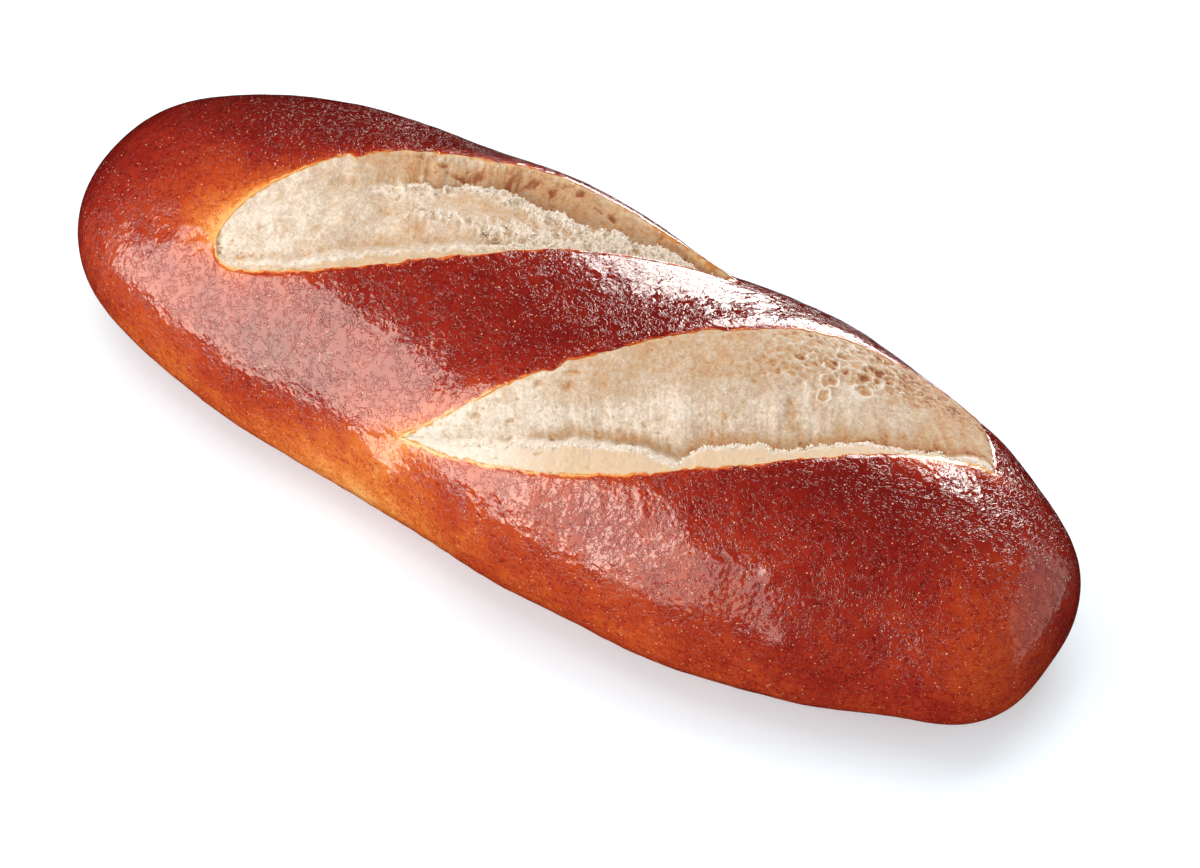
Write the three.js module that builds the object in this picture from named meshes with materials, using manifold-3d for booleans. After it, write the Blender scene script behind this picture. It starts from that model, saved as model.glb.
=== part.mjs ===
// Pretzel stick roll: an oval roll with a dark lye crust and two diagonal slashes
// that burst open in the oven and show the pale crumb.
// Millimetres, +Z up, +X along the roll. The origin is under the middle, on the table.

import * as THREE from 'three';
import Module from 'manifold-3d';

// ---- Driving dimensions ----

const LENGTH = 180;
const WIDTH = 63.6; // of the plain oval, before the swellings
const HEIGHT = 41.5;
const WAIST = 15; // height at which the roll is widest
const SINK = 2.5; // how much of the round underside rests flat on the table
const BEND = -0.6; // sideways curve of the ends against the middle
const TAPER = -0.04; // loss of width towards +X
const ROUNDNESS = { above: 2.1, below: 2.8 }; // of the section: 2 is an ellipse, more is boxier

// Each end's outline: a high spread keeps the middle wide, a high bluntness rounds the tip off
const ENDS = {
  left: { spread: 2.5, bluntness: 2.85 },
  right: { spread: 2.2, bluntness: 3.3 },
};

// Swellings and hollows of the skin. A place on the skin is [along, across]:
// along the roll from its middle, and across it from the ridge over the round, both in mm.
const SWELLINGS = [
  { at: [-58, -40], reach: [17, 25], rise: -1.2 }, // flat flank at the left end
  { at: [-25, -40], reach: [22, 25], rise: -2.8 }, // waist under the first slash
  { at: [8, -40], reach: [14, 22], rise: 2.2 }, // belly under the second slash
  { at: [35, -45], reach: [16, 22], rise: 2.3 },
  { at: [72, -36], reach: [9, 20], rise: -2.7 }, // hollow before the right end
  { at: [-50, 34], reach: [20, 22], rise: 2.0 }, // back shoulder behind the first slash
  { at: [-15, 34], reach: [16, 18], rise: 2.3 },
  { at: [14, 32], reach: [8, 14], rise: -1.0 }, // nick where the first slash ends
  { at: [40, 34], reach: [16, 18], rise: 2.1 }, // back shoulder behind the second slash
  { at: [66, 28], reach: [9, 14], rise: 1.4 },
];

// The slashes. Each runs straight over the skin between its two tips, and opens to both
// sides of that line as a hill: width at the peak, where the peak is, and how pointed it is.
// Its folds run from the near lip to the far lip. Each lies at a fraction of the opening and
// at a depth under the skin, and both change along the slash as [place, value] pairs.
// bow says how much the crumb bulges on the way to the fold: 1 is straight.
const SLASHES = [
  {
    tips: [[-54.3, -17.2], [19.4, 22.9]],
    near: { width: 7, peak: 0.21, point: 1.2, raise: 0.6, raisePeak: 0.5, reach: 6 },
    far: { width: 15.7, peak: 0.39, point: 1.75, raise: 2.5, raisePeak: 0.6, reach: 7 },
    folds: [
      { // edge of the crust's pale ledge
        across: [[0, 0.1], [0.12, 0.08], [0.3, 0.13], [0.5, 0.09], [0.75, 0.1], [1, 0.1]],
        depth: [[0, 0.3], [0.2, 0.7], [0.8, 0.7], [1, 0.3]],
        bow: 1,
        rows: 1,
      },
      { // near valley
        across: [[0, 0.2], [0.12, 0.18], [0.3, 0.3], [0.5, 0.24], [0.75, 0.2], [1, 0.2]],
        depth: [[0, 0.4], [0.12, 1.2], [0.3, 3.2], [0.55, 2.6], [0.75, 1.4], [1, 0.4]],
        bow: 1.3,
        rows: 3,
      },
      { // torn ridge between the valleys
        across: [[0, 0.6], [0.3, 0.74], [0.45, 0.66], [0.6, 0.54], [0.8, 0.45], [1, 0.5]],
        depth: [[0, 0.3], [0.15, 0.4], [0.32, 1.6], [0.5, 0.2], [0.75, -0.4], [1, 0.3]],
        bow: 1.5,
        rows: 4,
      },
      { // back valley
        across: [[0, 0.75], [0.3, 0.82], [0.45, 0.78], [0.6, 0.7], [0.8, 0.62], [1, 0.7]],
        depth: [[0, 0.4], [0.25, 1], [0.4, 3], [0.55, 4.6], [0.75, 4], [0.9, 2], [1, 0.4]],
        bow: 1.6,
        rows: 3,
      },
    ],
    farWall: { bow: 1.3, rows: 3 },
  },
  {
    tips: [[-10.4, -36.4], [71.5, 11.4]],
    near: { width: 6.5, peak: 0.41, point: 3, raise: 0.8, raisePeak: 0.5, reach: 6 },
    far: { width: 20.1, peak: 0.8, point: 1.2, raise: 2, raisePeak: 0.6, reach: 7 },
    folds: [
      { // edge of the crust's pale ledge, torn into two flaps past its narrow place
        across: [
          [0, 0.25], [0.3, 0.27], [0.4, 0.23], [0.49, 0.08], [0.55, 0.18], [0.61, 0.17],
          [0.66, 0.11], [0.77, 0.13], [0.86, 0.08], [1, 0.05],
        ],
        depth: [[0, 0.3], [0.2, 0.9], [0.8, 1], [1, 0.3]],
        bow: 1,
        rows: 2,
      },
      { // floor, close behind the ledge
        across: [
          [0, 0.4], [0.3, 0.35], [0.4, 0.3], [0.49, 0.16], [0.55, 0.24], [0.61, 0.23],
          [0.66, 0.18], [0.77, 0.2], [0.86, 0.16], [1, 0.15],
        ],
        depth: [[0, 0.3], [0.12, 1.6], [0.3, 4], [0.5, 6.2], [0.7, 6.2], [0.86, 4], [1, 0.3]],
        bow: 1.4,
        rows: 2,
      },
    ],
    farWall: { bow: 1.7, rows: 8 },
  },
];

const CRUST_EDGE = 0.6; // step down from the skin to the crumb at both lips
const OVERCUT = 8; // how far a slash's cutter stands above the skin
const FINENESS = { stations: 74, around: 54, slashStations: 40 };

// ---- Skin of the roll ----

const { lerp, smoothstep, clamp } = THREE.MathUtils;

// A value that eases from one [place, value] pair to the next
function along(pairs, place) {
  const next = clamp(pairs.findIndex(([at]) => at >= place), 1, pairs.length - 1);
  const [start, from] = pairs[next - 1];
  const [end, to] = pairs[next];
  return lerp(from, to, smoothstep(place, start, end));
}

// A hill over 0..1 that is 0 at both ends and 1 at its peak
function hill(place, peak, point) {
  const rise = point * peak;
  const fall = point * (1 - peak);
  const t = clamp(place, 0, 1);
  return (t ** rise * (1 - t) ** fall) / (peak ** rise * (1 - peak) ** fall);
}

// The plain oval's share of its full section at a station from -1 to 1
function capAt(station) {
  const end = station < 0 ? ENDS.left : ENDS.right;
  return Math.max(1 - Math.abs(station) ** end.spread, 0) ** (1 / end.bluntness);
}

const halfWidthAt = (station) => (WIDTH / 2) * capAt(station) * (1 + TAPER * station);

// A slash's own axes over the skin: run along it, and out across it towards the far side
function axesOf({ tips: [[x0, q0], [x1, q1]] }) {
  const length = Math.hypot(x1 - x0, q1 - q0);
  return { x0, q0, length, run: [(x1 - x0) / length, (q1 - q0) / length] };
}

function lipsAt(slash, place) {
  const { near, far } = slash;
  return {
    near: near.width * hill(place, near.peak, near.point),
    far: far.width * hill(place, far.peak, far.point),
  };
}

const RAISE_POINT = 1.6;
const raiseAt = (side, place) => side.raise * hill(place, side.raisePeak, RAISE_POINT);

// How much a slash lifts the skin beside its lips
function lipLift(slash, x, q) {
  const { x0, q0, length, run } = axesOf(slash);
  const place = ((x - x0) * run[0] + (q - q0) * run[1]) / length;
  const out = (q - q0) * run[0] - (x - x0) * run[1];
  const lips = lipsAt(slash, place);
  const side = out > 0 ? slash.far : slash.near;
  const past = Math.max(out > 0 ? out - lips.far : -out - lips.near, 0);
  return raiseAt(side, place) * Math.exp(-((past / side.reach) ** 2));
}

function swellingLift(x, q) {
  const lifts = SWELLINGS.map(({ at, reach, rise }) =>
    rise * Math.exp(-(((x - at[0]) / reach[0]) ** 2) - ((q - at[1]) / reach[1]) ** 2));
  return lifts.reduce((sum, lift) => sum + lift, 0);
}

const rounded = (value, roundness) => Math.sign(value) * Math.abs(value) ** (2 / roundness);

// The point of the oval at a station and an angle from the ridge, lifted off it by some mm
function ovalPoint(station, angle, lift) {
  const cap = capAt(station);
  const halfWidth = halfWidthAt(station);
  const sine = Math.sin(angle);
  const cosine = Math.cos(angle);
  const above = cosine > 0;
  const roundness = above ? ROUNDNESS.above : ROUNDNESS.below;
  const halfHeight = (above ? HEIGHT - WAIST : WAIST + SINK) * cap;
  const outward = new THREE.Vector2(sine / halfWidth, cosine / halfHeight).normalize();
  const y = halfWidth * rounded(sine, roundness) + BEND * (station ** 2 - 1 / 3);
  const z = WAIST + halfHeight * rounded(cosine, roundness);
  return new THREE.Vector3(
    (LENGTH / 2) * station,
    y + lift * cap * outward.x,
    Math.max(z + lift * cap * outward.y, 0),
  );
}

function skinPoint(station, angle) {
  const x = (LENGTH / 2) * station;
  const q = angle * halfWidthAt(station);
  const lift = SLASHES.reduce((sum, slash) => sum + lipLift(slash, x, q), swellingLift(x, q));
  return ovalPoint(station, angle, lift);
}

// ---- Solids ----

// A closed solid through rings of points, run together at a point on each end
function solidOfRings(first, rings, last) {
  const count = rings[0].length;
  const points = [first, ...rings.flat(), last];
  const faces = [];
  const at = (ring, i) => 1 + ring * count + (i % count);
  for (let i = 0; i < count; i += 1) {
    faces.push(0, at(0, i), at(0, i + 1));
    for (let ring = 1; ring < rings.length; ring += 1) {
      const [a, b] = [at(ring - 1, i), at(ring - 1, i + 1)];
      const [c, d] = [at(ring, i), at(ring, i + 1)];
      faces.push(a, c, d, a, d, b);
    }
    faces.push(at(rings.length - 1, i + 1), at(rings.length - 1, i), points.length - 1);
  }
  return new wasm.Manifold(new wasm.Mesh({
    numProp: 3,
    vertProperties: new Float32Array(points.flatMap((point) => point.toArray())),
    triVerts: new Uint32Array(faces),
  }));
}

// Evenly turned steps from 0 to 1, closer together at both ends, without the ends themselves
function innerSteps(count) {
  return Array.from({ length: count - 1 }, (_, i) => (1 - Math.cos((Math.PI * (i + 1)) / count)) / 2);
}

function loafSolid() {
  const angles = Array.from({ length: FINENESS.around }, (_, i) => (2 * Math.PI * i) / FINENESS.around);
  const rings = innerSteps(FINENESS.stations).map((step) =>
    angles.map((angle) => skinPoint(2 * step - 1, angle > Math.PI ? angle - 2 * Math.PI : angle)));
  const endPoint = (station) =>
    new THREE.Vector3((LENGTH / 2) * station, BEND * (2 / 3), WAIST);
  return solidOfRings(endPoint(-1), rings, endPoint(1));
}

// The crumb from the near lip to the far lip: [fraction across, height over the skin] pairs
function crumbSection(slash, place) {
  const lipHeight = (side) => raiseAt(side, place) - CRUST_EDGE;
  const turns = slash.folds.map(({ across, depth, bow, rows }) =>
    ({ across: along(across, place), height: -along(depth, place), bow, rows }));
  turns.push({ across: 1, height: lipHeight(slash.far), ...slash.farWall });
  let from = { across: 0, height: lipHeight(slash.near) };
  const section = [[from.across, from.height]];
  for (const turn of turns) {
    for (let row = 1; row <= turn.rows; row += 1) {
      const k = row / turn.rows;
      const climb = turn.height > from.height ? 1 - (1 - k) ** turn.bow : k ** turn.bow;
      section.push([lerp(from.across, turn.across, k), lerp(from.height, turn.height, climb)]);
    }
    from = turn;
  }
  return section;
}

// What a slash takes out of the loaf: all that lies over its crumb, between its lips
function slashSolid(slash) {
  const { x0, q0, length, run } = axesOf(slash);
  const overSkin = (place, out, height) => {
    const x = x0 + place * length * run[0] - out * run[1];
    const q = q0 + place * length * run[1] + out * run[0];
    const station = x / (LENGTH / 2);
    return ovalPoint(station, q / halfWidthAt(station), swellingLift(x, q) + height);
  };
  const ringAt = (place) => {
    const lips = lipsAt(slash, place);
    const section = crumbSection(slash, place);
    const outAt = (across) => lerp(-lips.near, lips.far, across);
    const floor = section.map(([across, height]) => overSkin(place, outAt(across), height));
    const roof = section.map(([across]) => overSkin(place, outAt(across), OVERCUT));
    return [...roof, ...floor.reverse()];
  };
  const rings = innerSteps(FINENESS.slashStations).map(ringAt);
  return solidOfRings(overSkin(0, 0, OVERCUT), rings, overSkin(1, 0, OVERCUT));
}

function toGeometry(solid) {
  const { vertProperties, triVerts } = solid.getMesh();
  const geometry = new THREE.BufferGeometry();
  geometry.setAttribute('position', new THREE.BufferAttribute(vertProperties, 3));
  geometry.setIndex(new THREE.BufferAttribute(triVerts, 1));
  geometry.computeVertexNormals();
  return geometry;
}

// Sets the origin under the middle of the geometry's box, at its lowest point
function standOnOrigin(geometry) {
  geometry.computeBoundingBox();
  const { min, max } = geometry.boundingBox;
  return geometry.translate(-(min.x + max.x) / 2, -(min.y + max.y) / 2, -min.z);
}

// ---- The roll ----

const wasm = await Module();
wasm.setup();

function makeRoll() {
  const solid = SLASHES.reduce((loaf, slash) => loaf.subtract(slashSolid(slash)), loafSolid());
  const crust = new THREE.MeshStandardMaterial({ color: '#9c3820', roughness: 0.35, metalness: 0 });
  const roll = new THREE.Mesh(standOnOrigin(toGeometry(solid)), crust);
  roll.name = 'roll';
  return roll;
}

const pretzelRoll = new THREE.Group();
pretzelRoll.add(makeRoll());

export default pretzelRoll;
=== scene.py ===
"""Pretzel stick roll: a glossy, finely wrinkled lye crust with two burst slashes of pale crumb."""
import math

import bmesh
import bpy
import numpy as np
from mathutils import Matrix, Vector, kdtree


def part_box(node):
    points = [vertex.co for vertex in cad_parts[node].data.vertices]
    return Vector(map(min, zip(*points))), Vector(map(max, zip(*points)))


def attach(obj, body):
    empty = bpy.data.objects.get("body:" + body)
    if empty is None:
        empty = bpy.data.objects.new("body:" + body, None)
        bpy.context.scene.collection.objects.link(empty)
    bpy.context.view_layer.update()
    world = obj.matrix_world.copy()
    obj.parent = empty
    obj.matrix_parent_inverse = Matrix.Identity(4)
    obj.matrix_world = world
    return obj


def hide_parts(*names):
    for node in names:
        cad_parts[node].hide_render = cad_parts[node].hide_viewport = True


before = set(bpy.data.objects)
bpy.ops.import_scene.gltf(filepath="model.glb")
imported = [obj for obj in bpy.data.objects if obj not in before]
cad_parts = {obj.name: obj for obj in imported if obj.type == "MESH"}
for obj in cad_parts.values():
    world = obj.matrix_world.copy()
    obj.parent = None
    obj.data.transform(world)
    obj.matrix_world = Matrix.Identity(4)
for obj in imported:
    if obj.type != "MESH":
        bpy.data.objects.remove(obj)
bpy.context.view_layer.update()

# ---- The roll's form, in millimetres, as the solid has it ----

MM = 0.001

LENGTH = 180.0
WIDTH = 63.6
HEIGHT = 41.5
WAIST = 15.0  # height at which the roll is widest
SINK = 2.5  # how much of the round underside rests flat
BEND = -0.6  # sideways bow of the roll's line
TAPER = -0.04  # growth of the width from the middle to the right end, as a share
ROUNDNESS = {"above": 2.1, "below": 2.8}  # power of the oval: 2 is round, more is squarer
ENDS = {"left": (2.5, 2.85), "right": (2.2, 3.3)}  # spread and bluntness

# Swellings and hollows: (along, across) on the skin, reach along and across, rise
SWELLINGS = [
    ((-58, -40), (17, 25), -1.2),
    ((-25, -40), (22, 25), -2.8),
    ((8, -40), (14, 22), 2.2),
    ((35, -45), (16, 22), 2.3),
    ((72, -36), (9, 20), -2.7),
    ((-50, 34), (20, 22), 2.0),
    ((-15, 34), (16, 18), 2.3),
    ((14, 32), (8, 14), -1.0),
    ((40, 34), (16, 18), 2.1),
    ((66, 28), (9, 14), 1.4),
]

# A slash: its tips on the skin. For each lip its greatest distance from the line between the tips, where
# along the slash that is and how pointed the lip's ends are, how high the lip rises, where along it rises
# most and how far beside it. The folds of the crumb from the near lip to the far one, each with its place
# across the gap and its depth under the skin at places along the slash, and the bow of the crumb before it.
FIRST = {
    "tips": ((-54.3, -17.2), (19.4, 22.9)),
    "near": {"width": 7, "peak": 0.21, "point": 1.2, "raise": 0.6, "raise_peak": 0.5, "reach": 6},
    "far": {"width": 15.7, "peak": 0.39, "point": 1.75, "raise": 2.5, "raise_peak": 0.6, "reach": 7},
    "folds": [
        {  # edge of the pale ledge
            "across": [(0, 0.1), (0.12, 0.08), (0.3, 0.13), (0.5, 0.09), (0.75, 0.1), (1, 0.1)],
            "depth": [(0, 0.3), (0.2, 0.7), (0.8, 0.7), (1, 0.3)],
            "bow": 1,
        },
        {  # near valley
            "across": [(0, 0.2), (0.12, 0.18), (0.3, 0.3), (0.5, 0.24), (0.75, 0.2), (1, 0.2)],
            "depth": [(0, 0.4), (0.12, 1.2), (0.3, 3.2), (0.55, 2.6), (0.75, 1.4), (1, 0.4)],
            "bow": 1.3,
        },
        {  # torn ridge between the valleys
            "across": [
                (0, 0.6), (0.3, 0.74), (0.4, 0.72), (0.5, 0.76), (0.56, 0.73), (0.63, 0.58),
                (0.7, 0.5), (0.8, 0.49), (0.86, 0.63), (1, 0.75),
            ],
            "depth": [(0, 0.3), (0.15, 0.4), (0.32, 1.4), (0.4, 0.8), (0.5, 0), (0.75, -0.4), (1, 0.3)],
            "bow": 1.5,
        },
        {  # back valley
            "across": [
                (0, 0.75), (0.3, 0.82), (0.4, 0.8), (0.5, 0.84), (0.56, 0.82), (0.63, 0.72),
                (0.7, 0.66), (0.8, 0.65), (0.86, 0.75), (1, 0.85),
            ],
            "depth": [(0, 0.4), (0.25, 0.7), (0.4, 2), (0.55, 3.8), (0.75, 3.8), (0.9, 2), (1, 0.4)],
            "bow": 1.6,
        },
    ],
    "far_wall_bow": 1.3,
    "ledge_start": (0.0, 0.15),  # where along the slash the ledge's own colour sets in
    "nicks": [(0.246, 0.012, 0.6), (0.09, 0.012, 0.25), (0.4, 0.008, 0.2)],  # place, reach, step in mm
    # how much paler the crust is beside each lip, at places along the slash
    "near_halo": [(0, 0.5), (0.1, 0.3), (0.3, 0.15), (1, 0.1)],
    "far_halo": [(0, 0.6), (0.15, 0.45), (0.3, 0.2), (0.5, 0.1), (1, 0.1)],
    "seed": 11,
}

SECOND = {
    "tips": ((-10.4, -36.4), (71.5, 11.4)),
    "near": {"width": 6.5, "peak": 0.41, "point": 3, "raise": 0.8, "raise_peak": 0.5, "reach": 6},
    "far": {"width": 20.1, "peak": 0.8, "point": 1.2, "raise": 2, "raise_peak": 0.6, "reach": 7},
    "folds": [
        {  # edge of the pale ledge, torn into two flaps past its narrow place
            "across": [
                (0, 0.25), (0.3, 0.27), (0.4, 0.23), (0.49, 0.08), (0.55, 0.18), (0.61, 0.17),
                (0.66, 0.11), (0.77, 0.13), (0.86, 0.08), (1, 0.05),
            ],
            "depth": [(0, 0.3), (0.2, 0.9), (0.8, 1), (1, 0.3)],
            "bow": 1,
        },
        {  # floor, close behind the ledge
            "across": [
                (0, 0.4), (0.3, 0.35), (0.4, 0.3), (0.49, 0.16), (0.55, 0.24), (0.61, 0.23),
                (0.66, 0.18), (0.77, 0.2), (0.86, 0.16), (1, 0.15),
            ],
            "depth": [
                (0, 0.3), (0.12, 1.2), (0.22, 2), (0.33, 3.6), (0.5, 5.2), (0.7, 5.6), (0.86, 4), (1, 0.3),
            ],
            "bow": 1.4,
        },
    ],
    "far_wall_bow": 1.7,
    "ledge_start": (0.15, 0.34),
    "nicks": [(0.31, 0.01, -0.5), (0.86, 0.012, -0.35)],
    "near_halo": [(0, 0.45), (0.15, 0.2), (0.5, 0.08), (0.8, 0.15), (0.9, 0.9), (1, 0.5)],
    "far_halo": [(0, 0.5), (0.1, 0.35), (0.3, 0.15), (1, 0.1)],
    "seed": 23,
}

SLASHES = [FIRST, SECOND]
CRUST_EDGE = 0.12  # step down from the skin to the crumb at both lips

# ---- Helpers for numbers ----


def along(pairs, place):
    """A value that eases from one (place, value) pair to the next."""
    at, value = (np.array(column, float) for column in zip(*pairs))
    after = np.clip(np.searchsorted(at, place), 1, len(at) - 1)
    k = np.clip((place - at[after - 1]) / (at[after] - at[after - 1]), 0, 1)
    return value[after - 1] + (value[after] - value[after - 1]) * k * k * (3 - 2 * k)


def ease(value, start, end):
    """0 before the start and 1 past the end, with a smooth step between them."""
    k = np.clip((value - start) / (end - start), 0, 1)
    return k * k * (3 - 2 * k)


def hill(place, peak, point):
    """A hill over 0..1 that is 0 at both ends and 1 at its peak."""
    rise, fall = point * peak, point * (1 - peak)
    t = np.clip(place, 0, 1)
    return (t**rise * (1 - t) ** fall) / (peak**rise * (1 - peak) ** fall)


def mounds(table, x, q):
    """The sum of rounded mounds, each given as (along, across), reach along and across, and rise."""
    return sum(
        rise * np.exp(-(((x - at[0]) / reach[0]) ** 2) - ((q - at[1]) / reach[1]) ** 2)
        for at, reach, rise in table
    )


def lattice_value(corner, seed):
    """A random value from -1 to 1 for each whole-numbered corner."""
    key = np.full(corner.shape[:-1], seed * 374761393 % 2**32, np.uint32)
    for axis, prime in zip(range(corner.shape[-1]), (668265263, 2246822519, 3266489917)):
        key ^= corner[..., axis].astype(np.uint32) * np.uint32(prime)
        key = (key ^ (key >> np.uint32(13))) * np.uint32(1274126177)
    key ^= key >> np.uint32(16)
    return key.astype(float) / 2**31 - 1


def noise(points, cell, seed):
    """Smooth random values from about -1 to 1, with one random value for each cell of the lattice."""
    place = points / cell
    low = np.floor(place).astype(np.int64)
    k = place - low
    k = k * k * k * (k * (6 * k - 15) + 10)
    total = 0.0
    for corner in np.ndindex(*(2,) * points.shape[-1]):
        step = np.array(corner)
        share = np.prod(np.where(step, k, 1 - k), axis=-1)
        total = total + share * lattice_value(low + step, seed)
    return total


def rough(points, cell, seed, octaves=3, fade=0.5):
    """Noise with finer and fainter noise over it."""
    return sum(fade**n * noise(points, cell / 2**n, seed + n) for n in range(octaves))


def ridged(points, cell, seed, octaves=2, fade=0.6):
    """Noise with thin sharp crests, mostly from -1 to 1."""
    return sum(fade**n * (1 - 4 * np.abs(noise(points, cell / 2**n, seed + n))) for n in range(octaves))


def bent(points, amount, cell, seed):
    """The points of a plane, moved a little so that shapes laid over them come out uneven."""
    return points + amount * np.stack([rough(points, cell, seed, 2), rough(points, cell, seed + 5, 2)], -1)


def unit(vectors):
    return vectors / np.linalg.norm(vectors, axis=-1, keepdims=True)


def cell_walls(points, seed):
    """How near a place is to the wall between two scattered cells of about 1 across: 1 on the wall."""
    low = np.floor(points).astype(np.int64)
    nearest = np.full(points.shape[:-1], np.inf)
    second = nearest
    for step in np.ndindex(3, 3):
        corner = low + step - 1
        scatter = np.stack([lattice_value(corner, seed), lattice_value(corner, seed + 1)], -1)
        centre = corner + 0.5 + 0.45 * scatter
        away = np.linalg.norm(points - centre, axis=-1)
        second = np.minimum(second, np.maximum(nearest, away))
        nearest = np.minimum(nearest, away)
    return 1 - ease(second - nearest, 0.0, 0.5)


# ---- The skin ----


def cap_at(station):
    """How much of its full size the roll has at a station from -1 to 1: 0 at both ends."""
    spread = np.where(station < 0, ENDS["left"][0], ENDS["right"][0])
    bluntness = np.where(station < 0, ENDS["left"][1], ENDS["right"][1])
    return np.clip(1 - np.abs(station) ** spread, 0, 1) ** (1 / bluntness)


def half_width_at(station):
    return WIDTH / 2 * cap_at(station) * (1 + TAPER * station)


def axes_of(slash):
    """The first tip of a slash, the length of its line and the direction that it runs in."""
    (x0, q0), (x1, q1) = slash["tips"]
    length = math.hypot(x1 - x0, q1 - q0)
    return x0, q0, length, ((x1 - x0) / length, (q1 - q0) / length)


def to_slash(slash, x, q):
    """How far along the slash a place on the skin is, from 0 to 1, and how far out of its line in mm."""
    x0, q0, length, run = axes_of(slash)
    place = ((x - x0) * run[0] + (q - q0) * run[1]) / length
    return place, (q - q0) * run[0] - (x - x0) * run[1]


def from_slash(slash, place, out):
    """The place on the skin that is so far along the slash and so far out of its line."""
    x0, q0, length, run = axes_of(slash)
    return x0 + place * length * run[0] - out * run[1], q0 + place * length * run[1] + out * run[0]


LIP_WOBBLE = [(7.0, 0.3), (2.2, 0.2), (0.9, 0.12)]  # cell and depth of the lips' unevenness, in mm
RAISE_POINT = 1.6  # how pointed the rise of a lip is


def wobble(slash, place, side):
    """The unevenness of a lip, fading out at the tips."""
    run = (place * axes_of(slash)[2])[..., None]
    seed = slash["seed"] + (0 if side == "near" else 50)
    uneven = sum(depth * noise(run, cell, seed + n) for n, (cell, depth) in enumerate(LIP_WOBBLE))
    if side == "far":
        for at, reach, step in slash["nicks"]:
            uneven = uneven - step * (place - at) / reach * np.exp((1 - ((place - at) / reach) ** 2) / 2)
    return uneven * np.minimum(1, 12 * np.clip(place * (1 - place), 0, 1))


def lip_at(slash, place, side, torn=True):
    """How far a lip is from the slash's line, in mm."""
    lip = slash[side]
    width = lip["width"] * hill(place, lip["peak"], lip["point"])
    return width + (wobble(slash, place, side) if torn else 0)


def raise_at(slash, place, side):
    """How high a lip stands over the skin, in mm."""
    return slash[side]["raise"] * hill(place, slash[side]["raise_peak"], RAISE_POINT)


def lip_lift(slash, x, q):
    """How much a slash lifts the skin beside its lips."""
    place, out = to_slash(slash, x, q)
    far = out > 0
    past_far = np.maximum(out - lip_at(slash, place, "far", torn=False), 0)
    past_near = np.maximum(-out - lip_at(slash, place, "near", torn=False), 0)
    far_lift = raise_at(slash, place, "far") * np.exp(-((past_far / slash["far"]["reach"]) ** 2))
    near_lift = raise_at(slash, place, "near") * np.exp(-((past_near / slash["near"]["reach"]) ** 2))
    return np.where(far, far_lift, near_lift)


def oval(station, angle, lift):
    """Points of the oval at a station from -1 to 1 and an angle from the ridge, lifted off it."""
    station, angle, lift = np.broadcast_arrays(station, angle, lift)
    cap, half_width = cap_at(station), half_width_at(station)
    sine, cosine = np.sin(angle), np.cos(angle)
    roundness = np.where(cosine > 0, ROUNDNESS["above"], ROUNDNESS["below"])
    half_height = np.where(cosine > 0, HEIGHT - WAIST, WAIST + SINK) * cap
    outward = np.stack([sine / half_width, cosine / half_height], -1)
    outward /= np.linalg.norm(outward, axis=-1, keepdims=True)
    y = half_width * np.sign(sine) * np.abs(sine) ** (2 / roundness) + BEND * (station**2 - 1 / 3)
    z = WAIST + half_height * np.sign(cosine) * np.abs(cosine) ** (2 / roundness)
    return np.stack([
        LENGTH / 2 * station,
        y + lift * cap * outward[..., 0],
        np.maximum(z + lift * cap * outward[..., 1], 0),
    ], -1)


def over_skin(x, q, height):
    """Points at a height over the swollen skin, without the lips' lift."""
    station = x / (LENGTH / 2)
    return oval(station, q / half_width_at(station), mounds(SWELLINGS, x, q) + height)


def unroll(points):
    """The places (along, across) on the skin under points on it."""
    station = np.clip(points[:, 0] / (LENGTH / 2), -0.9999, 0.9999)
    cap, half_width = cap_at(station), half_width_at(station)
    above = points[:, 2] > WAIST
    power = np.where(above, ROUNDNESS["above"], ROUNDNESS["below"]) / 2
    half_height = np.where(above, HEIGHT - WAIST, WAIST + SINK) * cap
    side = (points[:, 1] - BEND * (station**2 - 1 / 3)) / half_width
    up = (points[:, 2] - WAIST) / half_height
    angle = np.arctan2(np.sign(side) * np.abs(side) ** power, np.sign(up) * np.abs(up) ** power)
    return points[:, 0], angle * half_width


# ---- Meshes ----


def add_object(name, data):
    obj = bpy.data.objects.new(name, data)
    bpy.context.collection.objects.link(obj)
    return obj


def ring_faces(rings, count):
    """Faces of a closed solid through rings of points, with a point before the first and after the last."""
    turn = np.arange(count)
    after = (turn + 1) % count
    start = 1 + np.arange(rings - 1)[:, None] * count
    a, b = start + turn, start + after
    sides = np.stack([a, a + count, b + count, b], -1).reshape(-1, 4)
    last = 1 + (rings - 1) * count
    first_cap = [(0, 1 + i, 1 + j) for i, j in zip(turn, after)]
    last_cap = [(last + count, last + j, last + i) for i, j in zip(turn, after)]
    return sides.tolist() + [tuple(map(int, face)) for face in first_cap + last_cap]


def solid(name, first, rings, last):
    """A mesh object through rings of points (rings, points, 3), in the mm of the form."""
    points = np.concatenate([first[None], rings.reshape(-1, 3), last[None]])
    mesh = bpy.data.meshes.new(name)
    mesh.from_pydata((points * MM).tolist(), [], ring_faces(*rings.shape[:2]))
    mesh.validate()
    return add_object(name, mesh)


def points_of(obj):
    """An object's points in mm."""
    flat = np.empty(len(obj.data.vertices) * 3)
    obj.data.vertices.foreach_get("co", flat)
    return flat.reshape(-1, 3) / MM


def set_points(obj, points):
    obj.data.vertices.foreach_set("co", (points * MM).ravel())
    obj.data.update()


def set_values(obj, name, values):
    """Stores one value for each point, for the materials to read."""
    layer = obj.data.attributes.new(name, "FLOAT", "POINT")
    layer.data.foreach_set("value", np.asarray(values, np.float32))


# ---- The crust ----

STATIONS = 286  # steps of the crust's mesh along the roll
AROUND = 328  # and around it
CENTRE_PACKING = 0.4  # how much closer the stations stand in the middle than a plain cosine spacing
TOP_PACKING = 0.35  # the same for the points around, on the top

SKIN_UNEVENNESS = [(16.0, 0.28), (5.0, 0.1), (1.9, 0.06)]  # cell and height, in mm
SKIN_SEED = 90

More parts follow.
